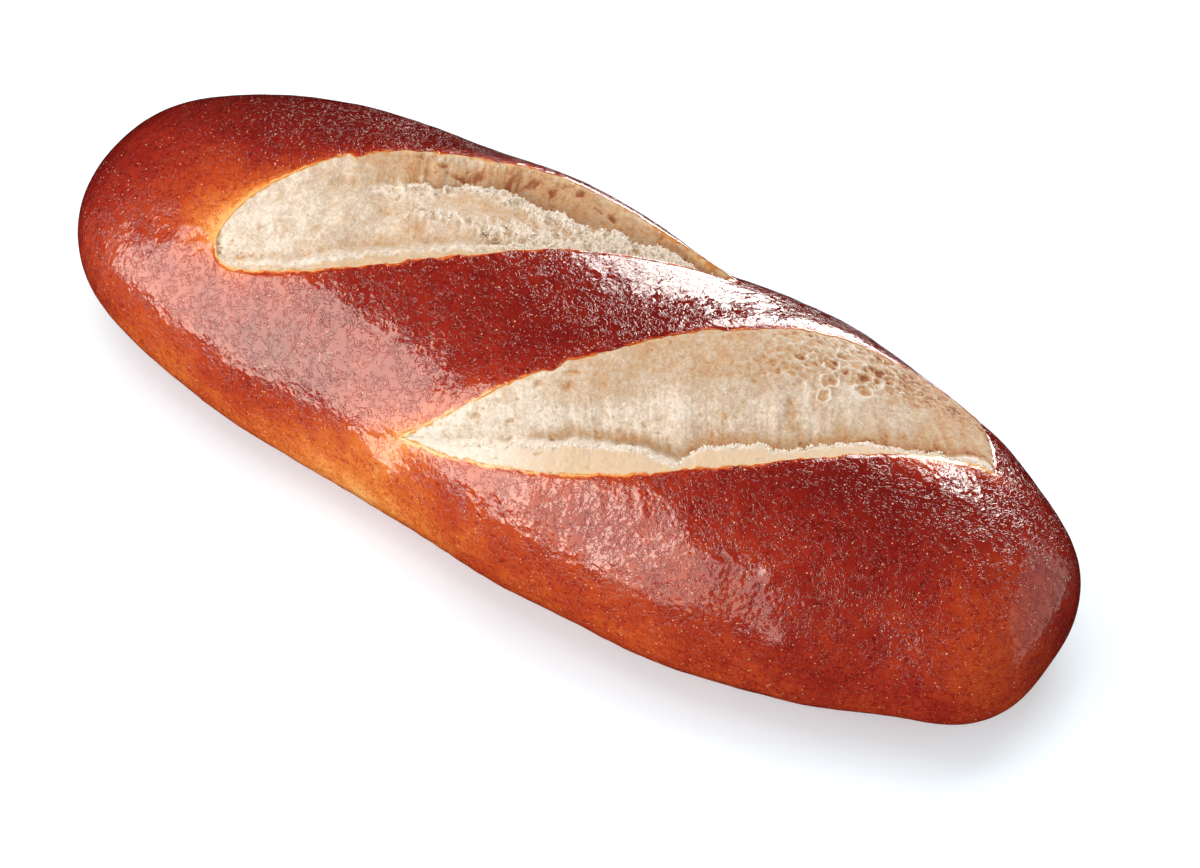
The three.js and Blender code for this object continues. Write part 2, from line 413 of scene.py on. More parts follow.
# Small bumps in the crust: (along, across), reach and rise
BUMPS = [
    ((58.2, -33.9), 1.7, 0.7),
    ((56.6, -36.0), 1.3, 0.5),
    ((60.0, -35.5), 1.0, 0.35),
    ((52.9, -24.3), 1.4, 0.45),
    ((46.1, -44.6), 1.6, 0.4),
    ((43.0, -42.5), 1.1, 0.3),
    ((-14.2, -43.6), 2.0, 0.8),
    ((-11.6, -46.4), 2.2, 0.5),
    ((-12.0, -37.6), 0.9, -0.4),
    ((-13.6, -38.9), 0.9, -0.4),
    ((-15.1, -40.1), 0.8, -0.3),
    ((-61.0, -16.5), 1.5, 0.5),
    ((-66.3, -13.0), 2.2, 0.4),
    ((-62.0, -20.0), 1.7, 0.35),
]

CREASES = 8  # how many creases the crust would have all round a slash's tip
CREASE_REACH = 4.5  # how far they run from the tip, in mm
CREASE_DEPTH = 0.15


def creases(slash, x, q):
    """Fine creases that fan out from a slash's first tip, where the crust was dragged open."""
    x0, q0, _, run = axes_of(slash)
    back, side = (x0 - x) * run[0] + (q0 - q) * run[1], (q - q0) * run[0] - (x - x0) * run[1]
    away = np.hypot(back, side)
    turn = np.arctan2(side, back)
    waver = noise(np.stack([x, q], -1), 2.5, slash["seed"] + 30)
    fan = np.cos(CREASES * turn + 2.2 * waver) * ease(np.cos(turn), -0.2, 0.6)
    return CREASE_DEPTH * fan * ease(away, 0.3, 1.8) * np.exp(-((away / CREASE_REACH) ** 2))


def small_lift(x, q, base):
    """Fine unevenness of the skin: bumps, creases, and noise taken at the smooth skin's points."""
    bumps = sum(rise * np.exp(-((x - at[0]) ** 2 + (q - at[1]) ** 2) / reach**2) for at, reach, rise in BUMPS)
    uneven = sum(
        height * noise(base, cell, SKIN_SEED + n) for n, (cell, height) in enumerate(SKIN_UNEVENNESS)
    )
    return bumps + uneven + sum(creases(slash, x, q) for slash in SLASHES)


def inner_steps(count, packing):
    """Places between 0 and 1 that crowd at both ends, and with packing also in the middle."""
    step = np.arange(1, count) / count
    turn = step + packing * np.sin(2 * np.pi * step) / (2 * np.pi)
    return (1 - np.cos(np.pi * turn)) / 2


def make_loaf():
    """The whole roll in its skin, before the slashes are cut."""
    station = 2 * inner_steps(STATIONS, CENTRE_PACKING)[:, None] - 1
    turn = (np.arange(AROUND) / AROUND * 2 - 1) * np.pi
    angle = (turn - TOP_PACKING * np.sin(turn))[None, :]
    x = LENGTH / 2 * station + 0 * angle
    q = angle * half_width_at(station)
    lift = mounds(SWELLINGS, x, q) + sum(lip_lift(slash, x, q) for slash in SLASHES)
    lift = lift + small_lift(x, q, oval(station, angle, lift))
    end_y = BEND * 2 / 3
    ends = [np.array([side * LENGTH / 2, end_y, WAIST]) for side in (-1, 1)]
    return solid("crust", ends[0], oval(station, angle, lift), ends[1])


OVERCUT = 8.0  # how far the cutter stands over the skin
SOCKET_DEPTH = 1.6  # how far the crumb piece reaches under its own lowest place
SLASH_STATIONS = 640  # steps of a crumb's mesh along its slash
SLASH_PACKING = 0.4


def deepest_at(slash, place):
    """Depth of the crumb's deepest fold under the skin."""
    return np.maximum.reduce([along(fold["depth"], place) for fold in slash["folds"]])


def make_cutter(slash):
    """What the crust lacks in a slash: the crumb's place and all over it."""
    place = inner_steps(SLASH_STATIONS, SLASH_PACKING)
    lips = {side: lip_at(slash, place, side) for side in ("near", "far")}
    deep = -deepest_at(slash, place) - SOCKET_DEPTH
    corners = [(-lips["near"], OVERCUT), (lips["far"], OVERCUT), (lips["far"], deep), (-lips["near"], deep)]
    rings = [over_skin(*from_slash(slash, place, out), height) for out, height in corners]
    ends = [over_skin(*from_slash(slash, end, 0.0), OVERCUT) for end in (0.0, 1.0)]
    return solid("cutter", ends[0], np.stack(rings, 1), ends[1])


def cut(obj, cutter):
    modifier = obj.modifiers.new("slash", "BOOLEAN")
    modifier.operation = "DIFFERENCE"
    modifier.solver = "MANIFOLD"
    modifier.object = cutter
    bpy.context.view_layer.objects.active = obj
    bpy.ops.object.modifier_apply(modifier=modifier.name)
    bpy.data.meshes.remove(cutter.data)


# Browning of the crust, 0 golden to 1 dark mahogany. Bands run across from the ridge,
# and patches are (along, across), reach along and across, and amount.
BROWNING_ACROSS = [(-62, 0.54), (-50, 0.5), (-30, 0.66), (-8, 0.89), (24, 0.89), (50, 0.5), (66, 0.55)]
BROWNING_PATCHES = [
    ((-62, 16), (24, 12), 0.15),
    ((18, 0), (14, 12), 0.15),
    ((58, 0), (20, 12), 0.12),
    ((-55, -10), (12, 10), -0.4),
    ((-72, -6), (12, 16), -0.15),
    ((-88, -10), (7, 24), 0.12),
    ((-62, -44), (14, 14), -0.14),
    ((-20, -58), (18, 13), -0.4),
    ((70, -42), (26, 20), 0.16),
    ((84, -10), (12, 14), -0.32),
    ((-13, -40), (6, 6), -0.3),
    ((-57, -14), (4, 8), -0.2),
    ((-36, -36), (18, 12), 0.2),
]
HALO_REACH = 2.2  # how far the paler edge of a slash reaches, in mm


def halo(slash, x, q):
    """How much paler the crust is beside a slash's lips, where it split last."""
    place, out = to_slash(slash, x, q)
    beyond = np.maximum(np.maximum(-place, place - 1), 0) * axes_of(slash)[2]
    past_far = np.hypot(np.maximum(out - lip_at(slash, place, "far"), 0), beyond)
    past_near = np.hypot(np.maximum(-out - lip_at(slash, place, "near"), 0), beyond)
    far = along(slash["far_halo"], place) * np.exp(-past_far / HALO_REACH)
    near = along(slash["near_halo"], place) * np.exp(-past_near / HALO_REACH)
    return np.where(out > 0, far, near)


def browning(x, q):
    band = along(BROWNING_ACROSS, q) - sum(halo(slash, x, q) for slash in SLASHES)
    return band + mounds(BROWNING_PATCHES, x, q)


EDGE_TURN = math.radians(40)  # faces of the crust that meet at more than this make a cut edge
SHADING_TURN = math.radians(50)  # faces that meet at more than this aren't shaded as one
FAR_FROM_LIP = 10.0  # distance in mm from which on a lip doesn't change the look


def cut_edge_points(obj):
    """Points in mm close together along the sharp edges that the slashes cut."""
    form = bmesh.new()
    form.from_mesh(obj.data)
    sharp = [edge for edge in form.edges if len(edge.link_faces) == 2 and edge.calc_face_angle() > EDGE_TURN]
    ends = np.array([[vertex.co[:] for vertex in edge.verts] for edge in sharp]) / MM
    form.free()
    shares = np.linspace(0, 1, 5)[:, None, None]
    return (ends[:, 0] + shares * (ends[:, 1] - ends[:, 0])).reshape(-1, 3)


def distance_to(points, targets, most):
    """Distance from each point to the nearest target, at most some mm."""
    tree = kdtree.KDTree(len(targets))
    for index, target in enumerate(targets):
        tree.insert(target, index)
    tree.balance()
    return np.array([min(tree.find(point)[2], most) for point in points])


def make_crust():
    crust = make_loaf()
    for slash in SLASHES:
        cut(crust, make_cutter(slash))
    points = points_of(crust)
    x, q = unroll(points)
    set_values(crust, "browning", browning(x, q))
    set_values(crust, "lip_distance", distance_to(points, cut_edge_points(crust), FAR_FROM_LIP))
    return crust


# ---- The crumb ----

CRUMB_ROWS = 148  # points of a crumb's mesh from the near lip to the far one
TUCK = 0.4  # how far the crumb runs on under the crust at the lips
FOLD_TEARS = [(2.6, 0.45), (0.8, 0.22), (0.35, 0.12)]  # cell and reach of the torn line of each fold, in mm
TEAR_LIMIT = 0.035  # how far a torn line may stray, as a share of the gap
RELIEF_START = 0.7  # distance from a lip over which the fine relief sets in, in mm


def lip_height(slash, place, side):
    """Height of the crumb at a lip over the swollen skin, a little under the crust's edge."""
    out = lip_at(slash, place, side) * (1 if side == "far" else -1)
    x, q = from_slash(slash, place, out)
    raised = raise_at(slash, place, side)
    return raised + small_lift(x, q, over_skin(x, q, raised)) - CRUST_EDGE


def crumb_surface(slash, place, across):
    """Height of the plain crumb over the skin, and where each fold lies as a fraction across."""
    gap = lip_at(slash, place, "near") + lip_at(slash, place, "far")
    run = (place * axes_of(slash)[2])[..., None]
    tear = sum(reach * noise(run, cell, slash["seed"] + n) for n, (cell, reach) in enumerate(FOLD_TEARS))
    knots = [(0.0 * place, lip_height(slash, place, "near"), 1)]
    for fold in slash["folds"]:
        torn = np.clip(tear / gap, -TEAR_LIMIT, TEAR_LIMIT)
        knots.append((along(fold["across"], place) + torn, -along(fold["depth"], place), fold["bow"]))
    knots.append((0 * place + 1.0, lip_height(slash, place, "far"), slash["far_wall_bow"]))
    height = 0 * place * across
    for (start, low, _), (end, high, bow) in zip(knots, knots[1:]):
        k = np.clip((across - start) / (end - start), 0, 1)
        climb = np.where(high > low, 1 - (1 - k) ** bow, k**bow)
        here = (across >= start) & (across <= end)
        height = np.where(here, low + (high - low) * climb, height)
    return height, [knot[0] for knot in knots[1:-1]]


def bump_at(value, middle, reach):
    """1 in the middle, fading out over the reach on both sides."""
    return np.exp(-(((value - middle) / reach) ** 2))


def pit_at(flat, uneven, centre, reach):
    """How far inside one uneven oval pit each place is, from 0 to 1, and the rows that it may touch."""
    most = 2.5 * reach[0]
    rows = slice(*np.searchsorted(flat[:, 0, 0], [centre[0] - most, centre[0] + most]))
    away = (uneven[rows] - centre) / reach
    return rows, np.exp(-((away**2).sum(-1) ** 1.5))


def pits_at(flat, uneven, pits):
    """How far inside any of some pits each place is, from 0 to 1."""
    inside = np.zeros(flat.shape[:-1])
    for centre, reach in pits:
        rows, depth = pit_at(flat, uneven, np.array(centre), np.array(reach))
        inside[rows] = np.maximum(inside[rows], depth)
    return inside


def pores(flat, uneven, wanted, count, sizes, seed, squash=1.0):
    """How far inside a pore each place is, for pores scattered where they are wanted, mostly small ones."""
    chance = np.random.default_rng(seed)
    pits = []
    for _ in range(count):
        row, column = chance.integers(wanted.shape[0]), chance.integers(wanted.shape[1])
        size = sizes[0] + (sizes[1] - sizes[0]) * chance.random() ** 2.5
        stretch = 1 + 1.2 * chance.random()
        if chance.random() < wanted[row, column]:
            pits.append((flat[row, column], (size * stretch, size * squash)))
    return pits_at(flat, uneven, pits)


# The larger pits that a slash shows: (run, out) from its first tip and its line, reach along both
FIRST_PITS = [
    ((35, 13.9), (0.9, 0.4)),
    ((38, 13.2), (1.6, 0.35)),
    ((41, 13.6), (1.2, 0.5)),
    ((46, 12.6), (0.7, 0.6)),
    ((49.5, 12.2), (1.3, 0.4)),
    ((53, 11), (0.6, 0.5)),
    ((57, 10.9), (0.9, 0.4)),
    ((63, 8), (0.8, 0.4)),
]
SECOND_PITS = [
    ((15.2, 3.9), (0.9, 0.5)),
    ((21.1, 3.1), (0.7, 0.4)),
    ((19.9, -0.6), (1.1, 0.5)),
    ((21.5, -1), (0.7, 0.4)),
    ((26.2, 7.9), (0.9, 0.6)),
    ((30.3, 7.7), (1.0, 0.6)),
    ((31.3, 9.7), (1.3, 0.4)),
    ((25.2, -2.7), (0.7, 0.4)),
    ((26.8, -0.3), (0.6, 0.4)),
]
# The wide soft pores among the bubbly crumb of the second slash
SECOND_HOLES = [
    ((64.7, 14.2), (1.1, 0.35)),
    ((69.7, 14.2), (1.1, 0.8)),
    ((69.4, 11.2), (1.1, 0.7)),
    ((71.6, 16.2), (1.2, 0.5)),
    ((68.7, 9.1), (0.7, 0.7)),
    ((74.2, 17.5), (0.9, 0.4)),
    ((76.4, 15.2), (1.2, 0.5)),
    ((74.6, 13.1), (1.1, 0.6)),
    ((74.7, 10.8), (1.3, 0.7)),
    ((79.0, 15.8), (0.6, 0.35)),
    ((81.5, 15.7), (1.5, 0.4)),
    ((84.2, 14.4), (0.5, 0.6)),
    ((87.6, 15.2), (1.0, 0.7)),
    ((89.0, 13.2), (0.6, 0.7)),
]
SLOT = ((63.8, 6.5), (0.8, 2.4))  # the one long slot in the second slash's wall


def first_relief(run, out, place, across, folds):
    """Fine relief of the first slash's crumb in mm, how brown it is, with painted shade in its hollows and
    painted light on its torn crumb, and how torn, both from 0 to 1.
    """
    flat = np.stack([run, out], -1)
    uneven = bent(flat, 0.3, 1.2, 350)
    ledge, valley, crest, _ = folds
    heave = noise(flat, 4.5, 301)
    grain = rough(flat, 0.4, 311, octaves=2)
    flakes = ridged(uneven, 1.3, 321, octaves=3, fade=0.7)
    # Where the crumb is torn: the ridge, the edge below it, the ledge's edge and the far lip
    front = ease(across, crest + 0.05, crest - 0.03)
    torn = bump_at(across, crest, 0.09) * ease(place, 0.25, 0.36) + ease(place, 0.46, 0.62) * front
    lower = along([(0.36, 0.52), (0.45, 0.46), (0.54, 0.33), (0.62, 0.25), (0.75, 0.2)], place)
    lower_edge = bump_at(across, lower, 0.045) * ease(place, 0.34, 0.4) * ease(place, 0.72, 0.6)
    # The trough between the ridge and its lower edge is a real dip, made browner with painted shade.
    trough = bump_at(across, (lower + crest) / 2, 0.07) * ease(place, 0.4, 0.48) * ease(place, 0.8, 0.6)
    behind = ease(across, crest + 0.02, crest + 0.08) * ease(place, 0.24, 0.38)
    fringe = bump_at(across, ledge, 0.04) * ease(place, 0.02, 0.1)
    lip_bubbles = ease(across, 0.93, 0.97) * ease(place, 0.28, 0.4)
    torn = np.clip(torn + lower_edge + 0.6 * lip_bubbles - 0.5 * trough, 0, 1)
    # The crease and the swell that slant across the smooth end; the crease's tan line is painted shade.
    slant = run - 0.28 * out
    fold_span = ease(across, 0.3, 0.4) * ease(across, 0.9, 0.75)
    crease = bump_at(slant + 0.8 * heave, 16.6, 1.5) * fold_span
    swell = bump_at(slant, 19.6, 2.4) * fold_span
    top = ease(across, 0.7, 0.85) * ease(place, 0.12, 0.2) * ease(place, 0.42, 0.3)
    # The near valley is made browner: painted shade in the hollow.
    low = bump_at(across, valley, 0.06)
    # Pores of all sizes
    dimples = pores(flat, uneven, 0.6 * ease(place, 0.24, 0.33) * front, 80, (0.6, 1.3), 337)
    specks = pores(flat, uneven, low * ease(place, 0.34, 0.2) + 0.05, 700, (0.12, 0.3), 333)
    holes = pores(flat, uneven, behind, 200, (0.2, 0.6), 331, 0.5)
    pits = np.maximum(pits_at(flat, uneven, FIRST_PITS), 0.7 * holes)
    ledge_zone = ease(across, ledge + 0.02, ledge - 0.02)
    crumbly = rough(flat, 0.9, 317)
    height = 0.4 * heave + 0.1 * rough(flat, 1.6, 315) + 0.05 * grain - 0.35 * crease + 0.35 * swell
    height = height + torn * (0.2 * flakes + 0.1) + 0.25 * lower_edge + 0.12 * fringe * (1 + flakes)
    height = height + 0.1 * ledge_zone * crumbly
    height = height - 0.2 * dimples - 0.15 * specks - 0.35 * pits - 0.25 * trough
    pale = along([(0, 0.1), (0.2, 0.12), (0.32, 0.26), (0.5, 0.24), (1, 0.1)], place)
    # The back wall's tan is partly real browning and partly painted shade, as it faces away from the light
    # from behind.
    wall_tan_and_shade = behind * along([(0, 0.15), (0.4, 0.22), (0.58, 0.44), (1, 0.44)], place)
    brown_and_painted_light = pale + wall_tan_and_shade + 0.14 * crease + 0.14 * top + 0.16 * low + 0.18 * dimples + 0.3 * specks
    # Torn crumb and the ledge's torn edge are made paler: partly painted light from behind on the ridge.
    brown_and_painted_light = brown_and_painted_light + 0.55 * pits - torn * (0.3 + 0.12 * flakes) - 0.2 * fringe - 0.08 * ledge_zone * crumbly
    return height, brown_and_painted_light + 0.16 * trough + behind * 0.12 * heave, torn + 0.6 * fringe


def second_relief(run, out, place, across, folds):
    """Fine relief of the second slash's crumb in mm, how brown it is, with painted shade at its floor and
    painted highlights on its torn edge and hole rims, and how torn, both from 0 to 1.
    """
    flat = np.stack([run, out], -1)
    uneven = bent(flat, 0.35, 1.2, 450)
    ledge, floor = folds
    heave = noise(flat * (1, 0.6), 5.0, 401)
    strands = noise(bent(flat, 0.6, 2.5, 404) * (1, 0.2), 1.0, 403)
    grain = rough(flat, 0.4, 411, octaves=2)
    flakes = ridged(uneven, 1.1, 421, octaves=2, fade=0.7)
    # The wall behind the floor, with silky strands low on it and bubbly crumb at its top
    wall = ease(across, floor - 0.02, floor + 0.05)
    silk = ease(across, 0.75, 0.5) * ease(place, 0.15, 0.3)
    top = ease(across, 0.5, 0.75) * ease(place, 0.25, 0.38)
    airy = bump_at(place, 0.8, 0.17) * ease(across, 0.52, 0.7)
    walls = cell_walls(uneven * (0.5, 0.85), 441)
    soft_holes = pits_at(flat, uneven, SECOND_HOLES)
    holes = ease(soft_holes, 0.15, 0.6)
    # Pale rims round the holes: a painted highlight.
    hole_edges = bump_at(soft_holes, 0.12, 0.1)
    ripples = ridged(np.stack([run + 0.35 * out + 0.5 * heave, 0.1 * out], -1), 1.8, 461, octaves=1)
    ripples = ripples * ease(place, 0.74, 0.86) * ease(across, 0.8, 0.65)
    # The slot, the ledge's torn edge and pores of all sizes
    slot = pits_at(flat, uneven, [SLOT])
    fringe = bump_at(across, ledge, 0.035) * ease(place, 0.03, 0.12)
    blots = pores(flat, uneven, 0.6 * wall * ease(place, 0.25, 0.4), 110, (0.3, 0.9), 437)
    specks = pores(flat, uneven, 0.25 + 0.3 * wall, 700, (0.12, 0.28), 433)
    pits = pits_at(flat, uneven, SECOND_PITS)
    # Browner and darker along the floor behind the ledge: partly painted shade in the hollow.
    low = bump_at(across, floor + 0.03, 0.07) * ease(place, 0.2, 0.35)
    height = wall * (0.3 * heave + 0.07 * strands * silk + 0.1 * ripples) + 0.04 * grain
    height = height + airy * (0.15 * walls + 0.08 * flakes) + 0.12 * fringe * (1 + flakes)
    height = height + 0.15 * hole_edges * (1 + 0.5 * flakes)
    height = height + (1 - wall) * 0.1 * rough(flat, 1.4, 415)
    height = height - 0.1 * blots - 0.12 * specks - 0.3 * pits - 0.5 * slot - 0.2 * holes
    pale = along([(0, 0.12), (0.15, 0.17), (0.35, 0.28), (0.7, 0.4), (0.85, 0.55), (1, 0.58)], place)
    brown_and_painted_light = wall * (pale + 0.2 * top + 0.42 * low - silk * (0.08 + 0.08 * strands) + 0.06 * heave)
    # The ledge's torn edge is made paler, partly a painted highlight.
    brown_and_painted_light = brown_and_painted_light + 0.16 * blots + 0.25 * specks + 0.35 * pits + 0.34 * slot - 0.2 * fringe
    # Paler bubble walls and hole rims: partly painted glints from the light behind.
    brown_and_painted_light = brown_and_painted_light + airy * (0.02 - 0.4 * walls - 0.1 * flakes) - 0.08 * ripples * wall
    brown_and_painted_light = brown_and_painted_light + 0.2 * holes - 0.5 * hole_edges
    return height, brown_and_painted_light, np.clip(0.8 * fringe + 0.5 * airy * (1 - holes), 0, 1)


def make_crumb(name, slash, relief):
    """The crumb piece in a slash, with the points of its open surface and how torn they are."""
    place = inner_steps(SLASH_STATIONS, SLASH_PACKING)[:, None]
    across = np.linspace(0, 1, CRUMB_ROWS)[None, :]
    near, far = lip_at(slash, place, "near"), lip_at(slash, place, "far")
    out = -near + (near + far) * across
    run = place * axes_of(slash)[2] + 0 * out
    height, folds = crumb_surface(slash, place, across)
    from_lip = np.minimum(out + near, far - out)
    fine, brown_and_painted_light, torn = relief(run, out, place, across, folds)
    height = height + fine * ease(from_lip, 0, RELIEF_START)
    deep = -deepest_at(slash, place) - SOCKET_DEPTH - TUCK
    outs = np.concatenate([-near - TUCK, out, far + TUCK, far + TUCK, -near - TUCK], 1)
    heights = np.concatenate([height[:, :1] - TUCK, height, height[:, -1:] - TUCK, deep, deep], 1)
    past_tip = TUCK / axes_of(slash)[2]
    tucked = 0.5 + (place - 0.5) * (1 + 2 * past_tip)
    places = np.concatenate([tucked, place + 0 * out, tucked, tucked, tucked], 1)
    rings = over_skin(*from_slash(slash, places, outs), heights)
    ends = [over_skin(*from_slash(slash, end, 0.0), -TUCK) for end in (-past_tip, 1 + past_tip)]
    crumb = solid(name, ends[0], rings[:, ::-1], ends[1])
    ledge = ease(across, folds[0] - 0.005, folds[0] - 0.045) * ease(place, *slash["ledge_start"])
    surface_values = {"lip_distance": from_lip, "ledge": ledge, "brown_and_painted_light": brown_and_painted_light, "torn": torn}
    for value_name, values in surface_values.items():
        padded = np.pad(values, ((0, 0), (1, 3)), mode="edge")[:, ::-1].ravel()
        set_values(crumb, value_name, np.concatenate([[0], padded, [0]]))
    return crumb, rings[:, 1:-3], torn


FLAKE_COUNTS = (1100, 700)  # in the first slash and in the second
FLAKE_LENGTH = (0.15, 0.5)  # shortest and longest, in mm
FLAKE_WIDTH = (0.07, 0.2)
FLAKE_NARROWING = 0.8  # width halfway up as a share of that at the foot
FLAKE_CORNERS = np.array([(1, 0.4), (-1, 0.4), (-1, -0.4), (1, -0.4)])  # along a flake's broad and thin side


def make_flakes(patches):
    """Small curled flakes of crumb in one piece, thickest where each patch of points is most torn."""
    chance = np.random.default_rng(71)
    roots, ups = [], []
    for surface, torn, count in patches:
        normal = np.cross(np.gradient(surface, axis=0), np.gradient(surface, axis=1))
        share = (np.linalg.norm(normal, axis=-1) * np.maximum(torn - 0.5, 0)).ravel()
        picked = chance.choice(share.size, count, p=share / share.sum())
        roots.append(surface.reshape(-1, 3)[picked])
        ups.append(unit(normal).reshape(-1, 3)[picked])
    root, up = np.concatenate(roots), np.concatenate(ups)
    lean = unit(up + 0.7 * chance.normal(size=root.shape))
    broad = unit(np.cross(lean, chance.normal(size=root.shape)))
    thin = np.cross(lean, broad)
    length = chance.uniform(*FLAKE_LENGTH, (len(root), 1))
    width = chance.uniform(*FLAKE_WIDTH, (len(root), 1))
    curl = thin * length * chance.normal(0, 0.3, (len(root), 1))
    foot, middle = root - 0.1 * lean, root + lean * length * 0.5 + curl * 0.25
    corners = broad[:, None] * FLAKE_CORNERS[:, :1] + thin[:, None] * FLAKE_CORNERS[:, 1:]
    low_ring = foot[:, None] + width[:, None] * corners
    high_ring = middle[:, None] + FLAKE_NARROWING * width[:, None] * corners
    tip = root + lean * length + curl
    points = np.concatenate([low_ring, high_ring, tip[:, None]], 1)
    faces = [(3, 2, 1, 0)] + [(i, (i + 1) % 4, (i + 1) % 4 + 4, i + 4) for i in range(4)]
    faces += [(i + 4, (i + 1) % 4 + 4, 8) for i in range(4)]
    count, each = points.shape[:2]
    mesh = bpy.data.meshes.new("torn_flakes")
    mesh.from_pydata((points.reshape(-1, 3) * MM).tolist(), [], [
        tuple(start + corner for corner in face) for start in range(0, count * each, each) for face in faces
    ])
    flakes = add_object("torn_flakes", mesh)
    brown_and_painted_light = chance.uniform(-0.2, 0.1, count)
    for name, value in {"lip_distance": FAR_FROM_LIP, "ledge": 0.0, "torn": 1.0, "brown_and_painted_light": brown_and_painted_light}.items():
        set_values(flakes, name, np.repeat(np.broadcast_to(value, count), each))
    return flakes


# ---- Materials ----


class Nodes:
    """A material's node tree, built by short calls."""

    def __init__(self, name):
        self.material = bpy.data.materials.new(name)
        self.material.use_nodes = True
        self.tree = self.material.node_tree
        self.shader = self.tree.nodes["Principled BSDF"]
        self.place = self.add("ShaderNodeTexCoord").outputs["Object"]

    def add(self, kind, **settings):
        node = self.tree.nodes.new(kind)
        for name, value in settings.items():
            setattr(node, name, value)
        return node

    def link(self, source, target):
        """Links a socket to another, or sets a plain value on it."""
        if hasattr(source, "is_output"):
            self.tree.links.new(source, target)
        else:
            target.default_value = source

    def attribute(self, name):
        return self.add("ShaderNodeAttribute", attribute_name=name).outputs["Fac"]

    def math(self, operation, first, second=0.0):
        """A sum or the like of two values, where some operations take only the first."""
        node = self.add("ShaderNodeMath", operation=operation)
        self.link(first, node.inputs[0])
        self.link(second, node.inputs[1])
        return node.outputs[0]

    def noise(self, cell_mm, detail, roughness=0.5, distortion=0.0):
        node = self.add("ShaderNodeTexNoise")
        self.link(self.place, node.inputs["Vector"])
        node.inputs["Scale"].default_value = 1 / (cell_mm * MM)
        node.inputs["Detail"].default_value = detail
        node.inputs["Roughness"].default_value = roughness
        node.inputs["Distortion"].default_value = distortion
        return node.outputs["Fac"]

    def voronoi(self, cell_mm):
        node = self.add("ShaderNodeTexVoronoi")
        self.link(self.place, node.inputs["Vector"])
        node.inputs["Scale"].default_value = 1 / (cell_mm * MM)
        return node

    def between(self, value, low, high, to_low=0.0, to_high=1.0):
        """A smooth step from one value, at low and before it, to another, at high and past it."""
        node = self.add("ShaderNodeMapRange", interpolation_type="SMOOTHSTEP")
        self.link(value, node.inputs["Value"])
        node.inputs["From Min"].default_value = low
        node.inputs["From Max"].default_value = high
        node.inputs["To Min"].default_value = to_low
        node.inputs["To Max"].default_value = to_high
        return node.outputs["Result"]

    def ramp(self, value, stops):
        node = self.add("ShaderNodeValToRGB")
        self.link(value, node.inputs["Fac"])
        elements = node.color_ramp.elements
        while len(elements) < len(stops):
            elements.new(0.5)
        for element, (at, colour) in zip(elements, stops):
            element.position = at
            element.color = (*colour, 1)
        return node.outputs["Color"]

    def mix(self, share, first, second):
        node = self.add("ShaderNodeMix", data_type="RGBA")
        self.link(share, node.inputs["Factor"])
        for value, socket in ((first, node.inputs["A"]), (second, node.inputs["B"])):
            self.link((*value, 1) if isinstance(value, tuple) else value, socket)
        return node.outputs["Result"]

    def bump(self, height, depth_mm, under=None):
        node = self.add("ShaderNodeBump")
        node.inputs["Distance"].default_value = depth_mm * MM
        self.link(height, node.inputs["Height"])
        if under is not None:
            self.link(under, node.inputs["Normal"])
        return node.outputs["Normal"]


CRUST_COLOURS = [
    (0.0, (0.82, 0.40, 0.12)),
    (0.25, (0.64, 0.16, 0.03)),
    (0.5, (0.44, 0.055, 0.014)),
    (0.75, (0.27, 0.018, 0.010)),
    (1.0, (0.15, 0.008, 0.006)),
]
# Pale specks of tiny blisters and grains on the crust, their paleness partly a painted glint.
SPECK_AND_GLINT_COLOUR = (0.90, 0.50, 0.26)


def add_mottle(n, value, layers):
    """Adds uneven noise to a value, in layers of cell size in mm and reach."""
    for cell, reach in layers:
        value = n.math("ADD", value, n.between(n.noise(cell, 2), 0.3, 0.7, -reach, reach))
    return value


def specks_of(n, cell_mm, largest):
    """Round specks of uneven size, with their size as a share of the cell."""
    speck = n.voronoi(cell_mm)
    size = n.between(speck.outputs["Color"], 0.2, 0.95, 0.0, largest)
    return n.between(n.math("SUBTRACT", size, speck.outputs["Distance"]), 0.0, 0.05)


def wrinkles_of(n, cell_mm, width):
    """Short crooked creases: 0 in a crease and 1 between them."""
    line = n.math("ABSOLUTE", n.math("SUBTRACT", n.noise(cell_mm, 1, 0.5, 0.8), 0.5))
    broken = n.between(n.noise(1.6 * cell_mm, 0), 0.4, 0.55, 1.0, 0.0)
    return n.math("MAXIMUM", n.between(line, 0.0, width), broken)


def rim_of(n, cell_mm, widths, fade, most=1.0):
    """A rim along the lips, of uneven width between two widths in mm, that fades in over a distance."""
    width = n.between(n.noise(cell_mm, 2), 0.35, 0.65, *widths)
    return n.between(n.math("SUBTRACT", width, n.attribute("lip_distance")), *fade, 0.0, most)


